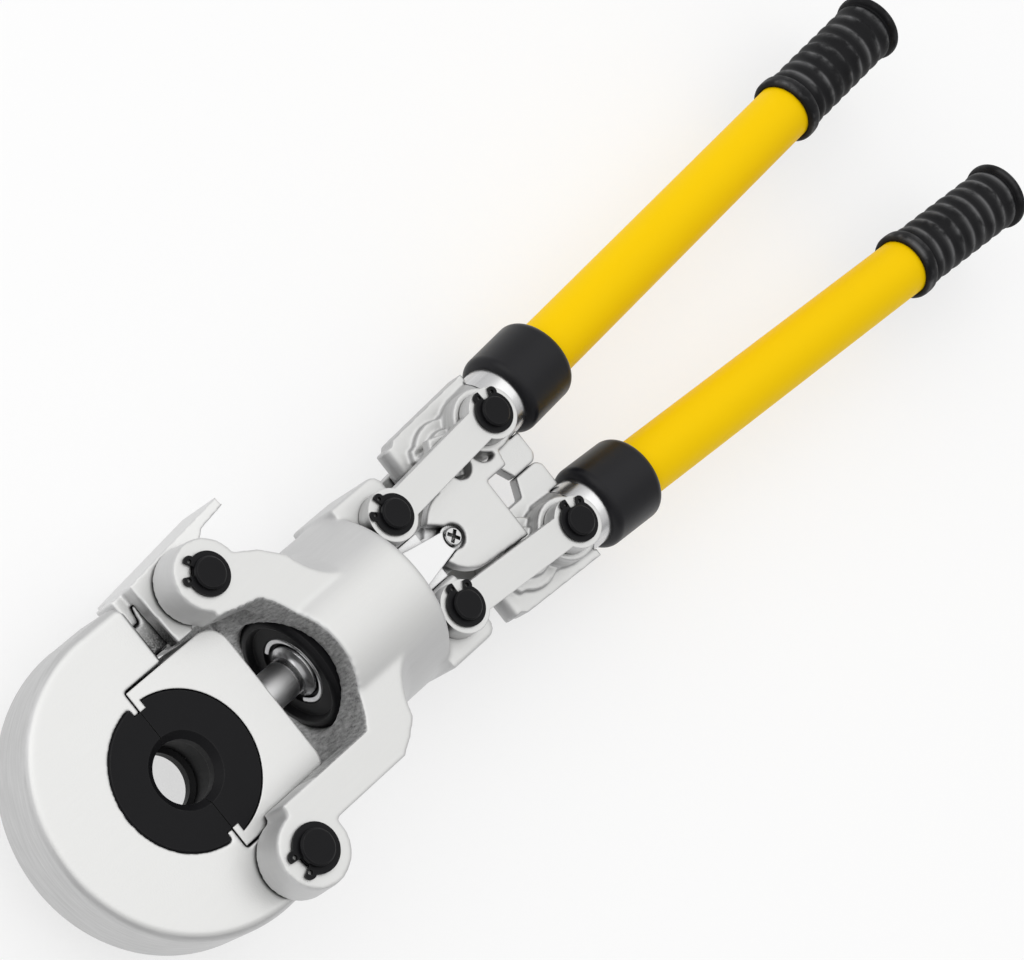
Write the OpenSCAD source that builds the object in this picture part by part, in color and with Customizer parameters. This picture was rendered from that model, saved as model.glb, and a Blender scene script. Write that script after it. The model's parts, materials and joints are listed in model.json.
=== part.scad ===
// Hand press tool for pipe sleeves, lying flat with its dies closed.
// Millimetres, +Z up. The press axis is the Z axis, the handles point along +Y, and the jaw hinge is
// on the +X side. The middle plane of the tool is Z = 0.

/* [Dies] */
// Outside diameter of the pair of dies
die_od = 60; // [58:0.5:62]
// Width of the dies, the jaw and the die block along the press axis
die_width = 30; // [28:0.5:32]
// Bore across the pressing lips
lip_bore = 24; // [20:0.5:25]
// Width of each pressing lip
lip_width = 4; // [3:0.5:5]
// Bore of the groove between the lips
groove_bore = 28; // [27:0.5:30]
// Bore at the faces of the dies
mouth_bore = 29.6; // [28:0.2:32]
// Depth of the tapered mouth on each face
mouth_depth = 2.5; // [1.5:0.5:3]
// Reach of the keeper nibs into the dies
nib_reach = 3.8; // [3:0.2:4.5]
// Height of a keeper nib from the parting line
nib_height = 3; // [2:0.5:4]
// Gap between the closed dies
parting_gap = 0.3; // [0.2:0.1:0.6]

/* [Jaw] */
// Outside radius of the jaw
jaw_radius = 61.5; // [60:0.5:63]
// Rounding of the jaw's outer edges
jaw_edge = 4; // [3:0.5:5]
// End of the jaw's free arm, from the press axis
arm_end = 19; // [17:0.5:19.5]
// Radius of the jaw's hinge eye
jaw_eye_radius = 14; // [13:0.25:14.25]
// Thickness of the jaw's catch tongue
catch_thickness = 14; // [12:0.5:16]

/* [Die block] */
// Rear face of the die block, from the press axis
block_rear = 46; // [44:0.5:46]
// Rounding of the die block's rear corners
block_corner = 9; // [6:0.5:10]

/* [Ram] */
// Diameter of the ram in its bush
ram_d = 22; // [21:0.5:22.5]
// Diameter of the ram's neck at the die block
neck_d = 15.5; // [12:0.5:16]
// Half width of the ram's flat tongue
tongue_half = 10; // [9:0.25:10]
// Diameter of the centre pin
centre_pin_d = 10; // [9:0.5:11]
// Diameter of the screw head in the centre pin
screw_head_d = 7.4; // [6:0.2:8]

/* [Housing] */
// Radius of the housing barrel
barrel_radius = 36.6; // [36:0.2:37.2]
// Length of the barrel
barrel_length = 54; // [51:0.5:56]
// Radius of the black guide bush
bush_radius = 24.5; // [23:0.5:26]
// Front face of the guide bush, from the press axis
bush_face = 65; // [64:0.5:66]
// Half thickness of the tool over the ears
ear_half = 31.5; // [30:0.5:32]
// Half thickness of the yoke, the handle brackets fit the same height
yoke_half = 16.5; // [16:0.25:18]

/* [Hinge] */
// Hinge pin, in from the jaw's outside radius, the latch pin stands as far out on the other side
hinge_inset = 12.1; // [11.6:0.1:12.6]
// Place of the hinge pin along the tool
hinge_y = 12; // [11:0.25:13]
// Diameter of the hinge pin
hinge_pin_d = 14; // [12:0.5:15]
// Radius of the hinge ear at its root
hinge_ear_radius = 16; // [15.5:0.1:16.5]

/* [Latch] */
// Place of the latch pin along the tool
latch_y = 47; // [46.5:0.25:47.5]
// Diameter of the latch pin
latch_pin_d = 12.5; // [8:0.5:14]
// Radius of the latch ear at its root
latch_ear_radius = 15; // [14:0.25:15.5]

/* [Links] */
// Sideways place of the housing link pins
link_x = 21.7; // [21.4:0.1:22.2]
// Housing link pins, behind the barrel
link_setback = 12.5; // [12:0.25:14]
// Sideways place of the handle pins with the tool closed
handle_pin_x = 26.5; // [26:0.1:27]
// Handle pins, behind the housing link pins with the tool closed
link_run = 64; // [63:0.25:65]
// Diameter of the link pins and the handle pins
link_pin_d = 12; // [11:0.5:13]
// Thickness of a link plate
link_thickness = 8; // [6:0.5:9]
// Radius of a link eye
link_eye_radius = 10.5; // [10:0.25:11]
// Width of a link bar
link_width = 13; // [11:0.5:14]

/* [Handles] */
// Centre pin, behind the housing link pins with the tool closed
centre_setback = 21; // [20.5:0.25:21.5]
// Lean of each closed handle away from the middle, degrees
handle_lean = 3.75; // [3.5:0.25:4.5]
// Outside diameter of the handle tubes
tube_d = 25; // [24:0.5:26]
// Wall of the handle tubes
tube_wall = 1.6; // [1.2:0.1:2]
// Outside diameter of the black collars
collar_d = 36; // [34:0.5:38]
// Length of the black collars
collar_length = 29; // [26:0.5:32]
// Front of a grip, along the handle from the handle pin
grip_start = 230; // [210:1:245]
// Length of a grip
grip_length = 70; // [66:1:90]
// Thickness of a grip on its tube, over the ribs
grip_thickness = 1.3; // [1.2:0.1:2]
// Number of ribs round a grip
rib_count = 8; // [6:1:10]

/* [Hidden] */
$fn = 96;
eye_fn = 48;
// clearances
running_fit = 0.05;
slide_fit = 0.4;
swing_gap = 0.4;
loop_play = 0.65;
over = 1;
// dies
die_r = die_od / 2;
half_width = die_width / 2;
lip_top = half_width - mouth_depth;
lip_foot = lip_top - lip_width;
groove_slope = 1;
die_chamfer = 0.8;
nib_gap = 0.15;
// jaw
hinge_x = jaw_radius - hinge_inset;
arm_inset = 0.1;
arm_root = 2;
arm_round = 4;
arm_ledge = 2.2;
ledge_half = 12;
arm_out = jaw_radius - arm_inset;
// die block and pocket
eye_gap = 0.9;
block_half = hinge_x - jaw_eye_radius - eye_gap;
pocket_half = block_half + 2 * slide_fit;
pocket_step = 4;
pocket_mouth_half = block_half - pocket_step;
pocket_bow = 48;
pocket_sink = 4;
pocket_bow_y = bush_face + pocket_sink - pocket_bow;
ear_gap_half = half_width + swing_gap;
neck_seat = 12;
// places along the tool
bush_recess = 3;
barrel_front = bush_face - bush_recess;
barrel_rear = barrel_front + barrel_length;
link_y = barrel_rear + link_setback;
handle_pin_y = link_y + link_run;
centre_y = link_y + centre_setback;
// ram
shoulder_sink = 6;
shoulder_y = bush_face + shoulder_sink;
tongue_step = 2;
tongue_y = barrel_rear + tongue_step;
tongue_z = ram_d / 2;
land_step = 2;
land_tip_half = 5.4;
land_root_half = 9;
rise_setback = 11.4;
rise_rear = centre_y - rise_setback;
rise_tip_half = 3.6;
rise_root_half = 9.4;
rise_drop = 2.9;
screw_shank_d = 4;
screw_head_h = 2;
recess_length = 5.6;
recess_width = 1.5;
recess_depth = 1.4;
recess_angle = 35;
cheek_floor = tongue_z + swing_gap / 2;
cheek_inset = 0.1;
screw_sink = 2.4;
cheek_top = yoke_half - cheek_inset;
centre_pin_top = cheek_top - screw_sink;
// housing
rim_round = 3;
ear_edge = 1.5;
ear_draft = 1.2;
bush_depth = 23;
bush_chamfer = 1.6;
flare_round = 18;
flare_sink = 0.3;
flare_depth = 33;
flare_rear = barrel_front + flare_depth;
ring_spread = 3.5;
ring_outer = ram_d / 2 + ring_spread;
ring_wire = 1.5;
ring_width = 2.4;
ring_sink = 2.5;
ring_gap = 20;
ring_gap_angle = 130;
hinge = [hinge_x, hinge_y];
ear_inset = 2.6;
ear_out = hinge_x - ear_inset;
ear_shoulder = [3.5, 6];
ear_shoulder_start = 3;
ear_shoulder_low = barrel_front + ear_shoulder_start;
ear_depth = 19;
ear_rear = barrel_front + ear_depth;
ear_root_in = 0.6;
ear_wall_lap = 4;
ear_lap = 8;
ear_wall_setback = 18;
ear_wall_front = hinge_y + ear_wall_setback;
latch_bend = 2.6;
latch_arm = [5, 8];
latch_ear_depth = 17;
latch_ear_rear = barrel_front + latch_ear_depth;
latch_ear_hip = [4.3, 22.7];
latch_ear_top = [-1, 13];
latch_place = [-hinge_x, latch_y];
channel_half = tongue_half + slide_fit;
lug_side = 16;
lug_half = link_x + lug_side;
lug_reach = 10.5;
lug_rear = link_y + lug_reach;
lug_corner = 5;
lug_lap = 3;
lug_root = barrel_rear - lug_lap;
window_lip = 0.9;
window_lip_depth = 0.9;
window_lead = 6;
channel_lead = 3;
// latch
latch_half = half_width;
latch_eye_radius = 13.2;
catch_half = catch_thickness / 2;
catch_slot_half = catch_half + swing_gap;
neck_reach = 0.6;
neck_outer = latch_place[0] - neck_reach;
catch_reach = [-7.6, 11.4];
catch_outer = latch_place[0] + catch_reach[0];
catch_inner = latch_place[0] + catch_reach[1];
catch_depth = 14;
catch_rear = latch_y - catch_depth;
catch_arc = 20.2;
tooth_arc = catch_arc + swing_gap + nib_gap;
tooth_reach = 1.6;
tooth_tip = latch_place[0] - tooth_reach;
tooth_depth = 24.8;
tooth_front = latch_y - tooth_depth;
tooth_root = 13.2;
slot_reach = 8.2;
slot_outer = latch_place[0] - slot_reach;
latch_nose = [-13.8, -19.2];
latch_inner_gap = 1.8;
latch_inner_front = -17.4;
latch_inner_rear = -10;
tail_root = [-5, 12.3];
tail_bend = [-10.4, 15.5];
tail_inner = [-13.4, 19.5];
tail_tip_in = [-15.2, 32.3];
tail_tip_out = [-19, 31.6];
// links and pins
link_gap = 0.3;
link_floor = yoke_half + link_gap;
link_top = link_floor + link_thickness;
link_pin = [link_x, link_y];
handle_pin = [handle_pin_x, handle_pin_y];
centre = [0, centre_y];
link_length = norm(handle_pin - link_pin);
link_turn = atan2(handle_pin_x - link_x, handle_pin_y - link_y);
clip_thickness = 1.2;
clip_gap = 0.05;
clip_neck_share = 0.88;
clip_ring_share = 1.36;
clip_ear_share = 0.18;
clip_slot_angle = 16;
clip_ear_angle = 24;
clip_hole_share = 0.07;
pin_tail = 2;
hinge_clip_angle = -82;
latch_clip_angle = 228;
left_link_clip_angle = 214;
right_link_clip_angle = 159;
left_pin_clip_angle = 168;
right_pin_clip_angle = 160;
// brackets
cheek_disc_r = 16.5;
cheek_rise = 6.5;
cheek_disc_y = centre_y + cheek_rise;
cheek_length = 27.5;
cheek_rear = centre_y + cheek_length;
cheek_far = 18.5;
notch_gap = 0.35;
notch_swing = 27;
web_half = 8;
lug_plate_half = 3;
lug_round = 4;
wing_half = 5;
boss_radius = 13;
lug_face = 0.15;
left_pin = [-handle_pin_x, handle_pin_y];
gap_edge = -7.4;
gap_front = 26;
gap_rear = [1.3, 4.9];
cheek_lap = 4;
cheek_hip = [-8, -25.5];
web_step = [-4, -31];
web_front = [-8, -29];
web_side = [-12, 0];
web_rear = 15.5;
lug_tail = 19;
lug_width = 12;
web_inner = -20;
web_inner_front = 16;
wing_front = 5.5;
wing_root = -2;
wing_corner = [-14, -15.6];
wing_bevel = 2;
wing_tip = [-18.2, 13];
scallops = [[7.9, -21.5, 5], [7.5, -8, 6]];
step_place = [2.5, -16.5];
step_radii = [14.6, 9.8];
step_halves = [8, 10.5];
core_front = 14;
core_rear = 30;
core_out = -4;
shank_d = tube_d - 2 * tube_wall;
shank_end = 48;
socket_front = 12;
socket_length = 12;
socket_gap = 0.3;
socket_wall = 2;
socket_d = tube_d + 2 * socket_wall;
collar_front = 22;
collar_round = 4;
tube_stop = 2;
tube_front = socket_front + tube_stop;
grip_bore_d = tube_d;
grip_d = tube_d + 2 * grip_thickness;
grip_flange_step = 1.4;
grip_flange_d = grip_d + 2 * grip_flange_step;
grip_flange = 7;
grip_edge = 1.2;
grip_end_cap = 3;
rib_depth = 0.7;
rib_rise_share = 0.3;
rib_crest_share = 0.6;
rib_fall_share = 0.9;
left = -1;
right = 1;

// A flat shape raised between two heights
module layer(low, high) {
    translate([0, 0, low]) linear_extrude(high - low) children();
}

// A flat shape raised on both sides of the middle plane, between two heights
module both_layers(low, high) {
    layer(low, high) children();
    layer(-high, -low) children();
}

// A round bar through the middle plane
module pin_bar(d, half) {
    translate([0, 0, -half]) cylinder(d = d, h = 2 * half);
}

// A solid of revolution about the tool's long axis, drawn as radius and place along the tool
module turned() {
    rotate([-90, 0, 0]) rotate_extrude() children();
}

// Half of a flat disc's section with rounded edges
module puck_section(r, half, edge) {
    translate([0, -half]) square([r - edge, 2 * half]);
    translate([0, edge - half]) square([r, 2 * (half - edge)]);
    for (s = [-1, 1]) translate([r - edge, s * (half - edge)]) circle(edge, $fn = eye_fn);
}

// A disc about the Z axis with chamfered edges, between two heights
module edged_disc(r, low, high, edge) {
    rotate_extrude() polygon([[0, low], [r - edge, low], [r, low + edge], [r, high - edge],
        [r - edge, high], [0, high]]);
}

// Section of the die ring, drawn as radius and height
module die_section() {
    polygon([
        [die_r - die_chamfer, -half_width], [die_r, die_chamfer - half_width],
        [die_r, half_width - die_chamfer], [die_r - die_chamfer, half_width],
        [mouth_bore / 2, half_width], [lip_bore / 2, lip_top], [lip_bore / 2, lip_foot],
        [groove_bore / 2, lip_foot - groove_slope], [groove_bore / 2, groove_slope - lip_foot],
        [lip_bore / 2, -lip_foot], [lip_bore / 2, -lip_top], [mouth_bore / 2, -half_width]]);
}

// One half of the die pair, on the +Y side
module die_half() {
    difference() {
        rotate_extrude() die_section();
        translate([0, parting_gap / 2 - die_od, 0]) cube(2 * die_od, center = true);
        for (s = [-1, 1]) layer(-die_width, die_width)
            translate([s * die_r, 0]) square([2 * nib_reach, 2 * nib_height], center = true);
    }
}

// The round seat of a die half on the +Y side, left standing where two keeper nibs hold the die
module die_seat() {
    difference() {
        circle(die_r);
        for (s = [-1, 1]) translate([s * (die_r + nib_gap), 0])
            square([2 * nib_reach, 2 * (nib_height - nib_gap)], center = true);
    }
}

module die_upper() {
    color("#2b2b2d") die_half();
}

module die_lower() {
    color("#2b2b2d") mirror([0, 1, 0]) die_half();
}

// Outline of the jaw between its arms and under the parting line
module jaw_ring() {
    difference() {
        intersection() {
            circle(jaw_radius);
            union() {
                translate([-2 * jaw_radius, -2 * jaw_radius]) square([4 * jaw_radius, 2 * jaw_radius]);
                translate([pocket_half, -over]) square([jaw_radius, hinge_y + over]);
            }
        }
        mirror([0, 1]) die_seat();
        translate([-pocket_half, -parting_gap / 2]) square([2 * pocket_half, jaw_radius]);
    }
}

// Section of the jaw's free arm across the tool
module arm_section() {
    translate([pocket_half, -half_width]) square([arm_out - jaw_edge - pocket_half, die_width]);
    translate([pocket_half, jaw_edge - half_width]) square([arm_out - pocket_half, die_width - 2 * jaw_edge]);
    for (s = [-1, 1]) translate([arm_out - jaw_edge, s * (half_width - jaw_edge)])
        circle(jaw_edge, $fn = eye_fn);
}

// Outline of the free arm seen from above, with a rounded outer corner
module arm_outline() {
    corner = arm_out - arm_round;
    translate([pocket_half, -arm_root]) square([corner - pocket_half, arm_end + arm_root]);
    translate([pocket_half, -arm_root]) square([arm_out - pocket_half, arm_end + arm_root - arm_round]);
    translate([corner, arm_end - arm_round]) circle(arm_round, $fn = eye_fn);
}

// The free arm on the +X side, with a lower ledge at its end
module free_arm() {
    intersection() {
        translate([0, arm_end, 0]) rotate([90, 0, 0]) linear_extrude(arm_end + arm_root) arm_section();
        layer(-half_width, half_width) arm_outline();
    }
    layer(-ledge_half, ledge_half) translate([pocket_half, arm_end - over])
        square([arm_out - arm_round - pocket_half, arm_ledge + over]);
}

// The catch tongue on the end of the free arm, its face an arc about the latch pin
module catch_outline() {
    translate([neck_outer, arm_end - over]) square([catch_inner - neck_outer, catch_rear - arm_end + over]);
    intersection() {
        translate([catch_outer, arm_end]) square([catch_inner - catch_outer, catch_rear - arm_end]);
        translate(latch_place) circle(catch_arc);
    }
}

module jaw_head() {
    color("#d5d5d3") difference() {
        union() {
            intersection() {
                layer(-half_width, half_width) jaw_ring();
                rotate_extrude() puck_section(jaw_radius, half_width, jaw_edge);
            }
            mirror([1, 0, 0]) free_arm();
            layer(-catch_half, catch_half) catch_outline();
            translate(hinge) edged_disc(jaw_eye_radius, -half_width, half_width, ear_edge);
        }
        translate(hinge) pin_bar(hinge_pin_d + 2 * running_fit, half_width + over);
    }
}

// Outline of the die block round the upper die, with rounded rear corners
module block_outline() {
    low = parting_gap / 2;
    corner = block_half - block_corner;
    difference() {
        union() {
            translate([-block_half, low]) square([2 * block_half, block_rear - block_corner - low]);
            translate([-corner, low]) square([2 * corner, block_rear - low]);
            for (s = [-1, 1]) translate([s * corner, block_rear - block_corner]) circle(block_corner);
        }
        die_seat();
    }
}

module die_block() {
    color("#dcdcda") difference() {
        layer(-half_width, half_width) block_outline();
        turned() translate([0, block_rear - neck_seat]) square([neck_d / 2, neck_seat + over]);
    }
}

// The raised land on the ram's tongue, narrowing towards the centre pin
module tongue_land() {
    polygon([[-land_root_half, tongue_y], [land_root_half, tongue_y], [land_tip_half, centre_y],
        [-land_tip_half, centre_y]]);
    translate(centre) circle(tongue_half);
}

// The wedge at the front of the tongue, which fills the slot between the link lugs
module tongue_rise() {
    polygon([[-rise_root_half, tongue_y], [rise_root_half, tongue_y], [rise_tip_half, centre_y],
        [-rise_tip_half, centre_y]]);
}

module ram() {
    color("#c9cbcd") difference() {
        union() {
            turned() translate([0, block_rear - neck_seat])
                square([neck_d / 2, shoulder_y - block_rear + neck_seat + over]);
            turned() translate([0, shoulder_y]) square([ram_d / 2, tongue_y - shoulder_y]);
            layer(land_step - tongue_z, tongue_z - land_step) {
                translate([-tongue_half, tongue_y]) square([2 * tongue_half, centre_y - tongue_y]);
                translate(centre) circle(tongue_half);
            }
            layer(-tongue_z, tongue_z) tongue_land();
            layer(rise_drop - cheek_top, cheek_top - rise_drop)
                translate([-tongue_half, tongue_y]) square([2 * tongue_half, rise_rear - tongue_y]);
            layer(-cheek_top, cheek_top) tongue_rise();
        }
        translate(centre) pin_bar(centre_pin_d, cheek_top + over);
    }
}

module centre_pin() {
    color("#c9cbcd") difference() {
        translate(centre) pin_bar(centre_pin_d, centre_pin_top);
        translate([0, centre_y, centre_pin_top - tongue_z]) cylinder(d = screw_shank_d, h = 2 * tongue_z);
    }
}

module pin_screw() {
    color("#e4e4e2") translate(centre) {
        translate([0, 0, centre_pin_top - tongue_z]) cylinder(d = screw_shank_d, h = tongue_z + over / 2);
        difference() {
            edged_disc(screw_head_d / 2, centre_pin_top, centre_pin_top + screw_head_h, screw_head_h / 4);
            for (a = [0, 90]) rotate(recess_angle + a) translate([0, 0, centre_pin_top + screw_head_h])
                cube([recess_length, recess_width, 2 * recess_depth], center = true);
        }
    }
}

// Outer edge of the hinge ear, from its arm back to the barrel
function ear_edge_points() = [[ear_out, ear_shoulder_low],
    [ear_out - ear_shoulder[0], ear_shoulder_low + ear_shoulder[1]], [barrel_radius - ear_root_in, ear_rear],
    [barrel_radius - ear_root_in, flare_rear]];

// Outline of the ears, seen from above
module ear_outline() {
    polygon(concat([[0, barrel_front - ear_lap], [pocket_mouth_half, barrel_front - ear_lap],
        [pocket_mouth_half, hinge_y], [ear_out, hinge_y]], ear_edge_points(), [[0, flare_rear]]));
    polygon([[-pocket_mouth_half - latch_arm[0], latch_y - latch_arm[1]],
        [-pocket_mouth_half - latch_bend, latch_y], [-pocket_mouth_half, barrel_front - ear_lap / 2],
        [0, barrel_front - ear_lap / 2], [0, flare_rear], [ear_root_in - barrel_radius, flare_rear],
        [ear_root_in - barrel_radius, latch_ear_rear], latch_place + latch_ear_hip,
        latch_place + latch_ear_top, latch_place]);
}

// A pair of round ears, drafted towards their faces
module ear_eyes(r) {
    for (s = [0, 1]) mirror([0, 0, s]) rotate_extrude() polygon([[0, ear_gap_half], [r, ear_gap_half],
        [r - ear_draft, ear_half], [0, ear_half]]);
}

// The wall that joins the front and back of the hinge ear behind the jaw's eye
module ear_wall() {
    wall_in = pocket_mouth_half - ear_wall_lap;
    polygon(concat([[wall_in, barrel_front], [pocket_half, ear_wall_front], [ear_out, ear_wall_front]],
        ear_edge_points(), [[wall_in, flare_rear]]));
}

// Section that trims the ears into a flare on the barrel, drawn as radius and place along the tool
module flare_section() {
    flare_in = barrel_radius + flare_round - flare_sink;
    difference() {
        translate([0, -jaw_radius]) square([2 * jaw_radius, jaw_radius + flare_rear]);
        translate([flare_in, flare_rear]) circle(flare_round);
        translate([flare_in, flare_rear - flare_round]) square([2 * jaw_radius, flare_round + over]);
    }
}

// Outline of the two link lugs behind the barrel
module yoke_outline() {
    translate([-lug_half, lug_root]) square([2 * lug_half, lug_rear - lug_corner - lug_root]);
    translate([lug_corner - lug_half, lug_root]) square([2 * (lug_half - lug_corner), lug_rear - lug_root]);
    for (s = [-1, 1]) translate([s * (lug_half - lug_corner), lug_rear - lug_corner])
        circle(lug_corner, $fn = eye_fn);
}

// The slot between the link lugs for the ram's tongue, widened by a lip
module window_outline(lip) {
    front = tongue_y - window_lead;
    translate([-channel_half - lip, front]) square([2 * (channel_half + lip), lug_rear + over - front]);
}

// Room for the die block: a bowed pocket between the ears, wider between the prongs
module pocket() {
    layer(-2 * barrel_radius, 2 * barrel_radius) intersection() {
        translate([0, pocket_bow_y]) circle(pocket_bow);
        translate([-pocket_mouth_half, -pocket_bow]) square([2 * pocket_mouth_half, 3 * pocket_bow]);
    }
    layer(-ear_gap_half, ear_gap_half) intersection() {
        translate([0, pocket_bow_y]) circle(pocket_bow);
        translate([-pocket_half, -pocket_bow]) square([2 * pocket_half, 3 * pocket_bow]);
    }
}

module housing() {
    color("#d9d9d7") difference() {
        union() {
            turned() union() {
                translate([0, barrel_front]) square([barrel_radius, barrel_rear - barrel_front - rim_round]);
                translate([0, barrel_front]) square([barrel_radius - rim_round, barrel_rear - barrel_front]);
                translate([barrel_radius - rim_round, barrel_rear - rim_round])
                    circle(rim_round, $fn = eye_fn);
            }
            intersection() {
                union() {
                    both_layers(ear_gap_half, ear_half) ear_outline();
                    layer(-ear_gap_half - over, ear_gap_half + over) ear_wall();
                }
                turned() flare_section();
            }
            translate(hinge) ear_eyes(hinge_ear_radius);
            translate(latch_place) ear_eyes(latch_ear_radius);
            layer(-yoke_half, yoke_half) yoke_outline();
        }
        pocket();
        turned() translate([0, bush_face - 2 * bush_radius])
            square([bush_radius, 2 * bush_radius + bush_depth]);
        turned() translate([0, bush_face]) square([ram_d / 2 + running_fit, lug_rear + over - bush_face]);
        translate([-channel_half, tongue_y - channel_lead, -cheek_floor])
            cube([2 * channel_half, lug_rear, 2 * cheek_floor]);
        both_layers(tongue_z - over, yoke_half + over) window_outline(0);
        both_layers(yoke_half - window_lip_depth, yoke_half + over) window_outline(window_lip);
        translate(hinge) pin_bar(hinge_pin_d, ear_half + over);
        translate(latch_place) pin_bar(latch_pin_d, ear_half + over);
        for (s = [-1, 1]) translate([s * link_x, link_y]) pin_bar(link_pin_d, yoke_half + over);
    }
}

module guide_bush() {
    color("#232325") turned() difference() {
        polygon([[ram_d / 2 + running_fit, bush_face], [bush_radius - bush_chamfer, bush_face],
            [bush_radius, bush_face + bush_chamfer], [bush_radius, bush_face + bush_depth],
            [ram_d / 2 + running_fit, bush_face + bush_depth]]);
        translate([0, bush_face - over]) square([ring_outer, ring_sink + ring_wire + over]);
    }
}

// A spring ring in the mouth of the bush, open at one side
module retaining_ring() {
    color("#e8e8e6") difference() {
        turned() translate([ring_outer - ring_width, bush_face + ring_sink]) square([ring_width, ring_wire]);
        translate([0, bush_face + ring_sink, 0]) rotate([0, ring_gap_angle, 0]) translate([ring_outer, 0, 0])
            cube([2 * ring_outer, 4 * ring_wire, ring_gap], center = true);
    }
}

// A pin with a neck for a circlip at each end
module necked_pin(d, seat) {
    neck_low = seat + clip_gap;
    neck_high = neck_low + clip_thickness;
    difference() {
        edged_disc(d / 2, -neck_high - pin_tail, neck_high + pin_tail, pin_tail / 3);
        for (s = [-1, 1]) translate([0, 0, s * (neck_low + neck_high) / 2]) difference() {
            cylinder(d = d + over, h = clip_thickness, center = true);
            cylinder(d = d * clip_neck_share, h = clip_thickness + over, center = true);
        }
    }
}

// Puts a flat shape on each of a circlip's two ears
module clip_ears(d) {
    for (s = [-1, 1]) rotate(s * clip_ear_angle) translate([d / 2 * clip_ring_share, 0]) children();
}

// A circlip with two holed ears, its opening turned to an angle
module circlip_outline(d, turn) {
    rotate(turn) difference() {
        union() {
            circle(d / 2 * clip_ring_share, $fn = eye_fn);
            clip_ears(d) circle(d * clip_ear_share, $fn = eye_fn);
        }
        circle(d / 2 * clip_neck_share, $fn = eye_fn);
        polygon([[0, 0], d * [cos(clip_slot_angle), sin(clip_slot_angle)],
            d * [cos(clip_slot_angle), -sin(clip_slot_angle)]]);
        clip_ears(d) circle(d * clip_hole_share, $fn = eye_fn);
    }
}

module circlip_pair(d, seat, turn) {
    both_layers(seat + clip_gap, seat + clip_gap + clip_thickness) circlip_outline(d, turn);
}

module hinge_pin() {
    color("#333335") translate(hinge) necked_pin(hinge_pin_d, ear_half);
}

module hinge_circlips() {
    color("#2b2b2d") translate(hinge) circlip_pair(hinge_pin_d, ear_half, hinge_clip_angle);
}

module latch_pin() {
    color("#333335") translate(latch_place) necked_pin(latch_pin_d, ear_half);
}

module latch_circlips() {
    color("#2b2b2d") translate(latch_place) circlip_pair(latch_pin_d, ear_half, latch_clip_angle);
}

module link_pins() {
    color("#333335") for (s = [-1, 1]) translate([s * link_x, link_y]) necked_pin(link_pin_d, link_top);
}

module link_circlips() {
    color("#2b2b2d") {
        translate([-link_x, link_y]) circlip_pair(link_pin_d, link_top, left_link_clip_angle);
        translate([link_x, link_y]) circlip_pair(link_pin_d, link_top, right_link_clip_angle);
    }
}

// Outline of the latch lever with its finger tail
module latch_outline() {
    inner = -block_half - latch_inner_gap;
    translate(latch_place) circle(latch_eye_radius);
    polygon([latch_place + latch_nose, [inner, latch_y + latch_inner_front],
        [inner, latch_y + latch_inner_rear], latch_place, latch_place + tail_root, latch_place + tail_bend,
        latch_place + tail_inner, latch_place + tail_tip_in, latch_place + tail_tip_out]);
}

// The slot in which the latch swings round the jaw's catch
module latch_slot() {
    difference() {
        translate([slot_outer, tooth_front - over]) square([-slot_outer, tooth_depth + over]);
        translate(latch_place) circle(latch_eye_radius);
    }
}

// Outline of the tooth that holds the jaw's catch, its face an arc about the latch pin
module tooth_outline() {
    root = latch_place[0] - tooth_root;
    difference() {
        translate([root, tooth_front]) square([tooth_tip - root, catch_rear - tooth_front]);
        translate(latch_place) circle(tooth_arc);
    }
    translate([root, tooth_front]) square([slot_outer - root, catch_rear - tooth_front]);
}

module latch() {
    color("#cfcfcd") difference() {
        union() {
            difference() {
                layer(-latch_half, latch_half) latch_outline();
                layer(-catch_slot_half, catch_slot_half) latch_slot();
            }
            layer(-catch_half, catch_half) tooth_outline();
        }
        translate(latch_place) pin_bar(latch_pin_d + 2 * running_fit, latch_half + over);
    }
}

// Outline of a link on the right-hand side, with a bore for its housing pin
module link_outline() {
    difference() {
        union() {
            translate(link_pin) circle(link_eye_radius);
            translate(handle_pin) circle(link_eye_radius);
            translate(link_pin) rotate(-link_turn) translate([-link_width / 2, 0])
                square([link_width, link_length]);
        }
        translate(link_pin) circle(link_pin_d / 2 + running_fit);
        translate(handle_pin) circle(link_pin_d / 2);
    }
}

module link_plate(side, low, high) {
    color("#dededc") layer(low, high) scale([side, 1]) link_outline();
}

module left_link_front() { link_plate(left, link_floor, link_top); }
module left_link_back() { link_plate(left, -link_top, -link_floor); }
module right_link_front() { link_plate(right, link_floor, link_top); }
module right_link_back() { link_plate(right, -link_top, -link_floor); }

module left_handle_pin() {
    color("#333335") translate(left_pin) necked_pin(link_pin_d, link_top);
}

module right_handle_pin() {
    color("#333335") translate(handle_pin) necked_pin(link_pin_d, link_top);
}

module left_pin_circlips() {
    color("#2b2b2d") translate(left_pin) circlip_pair(link_pin_d, link_top, left_pin_clip_angle);
}

module right_pin_circlips() {
    color("#2b2b2d") translate(handle_pin) circlip_pair(link_pin_d, link_top, right_pin_clip_angle);
}

// Puts a handle piece, drawn along +Z from the handle pin, on the left or right handle
module along_handle(side) {
    translate([side * handle_pin_x, handle_pin_y]) rotate(-side * handle_lean) rotate([-90, 0, 0]) children();
}

// One side of the notch that clears the ram's wedge: its tip, and a point on the line of its edge
function notch_side(side, turn) = [for (p = [[rise_tip_half, 0], [rise_root_half, tongue_y - centre_y]])
    let (x = side * (p[0] + notch_gap), y = p[1])
        [x * cos(turn) + y * sin(turn), centre_y + y * cos(turn) - x * sin(turn)]];

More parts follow.
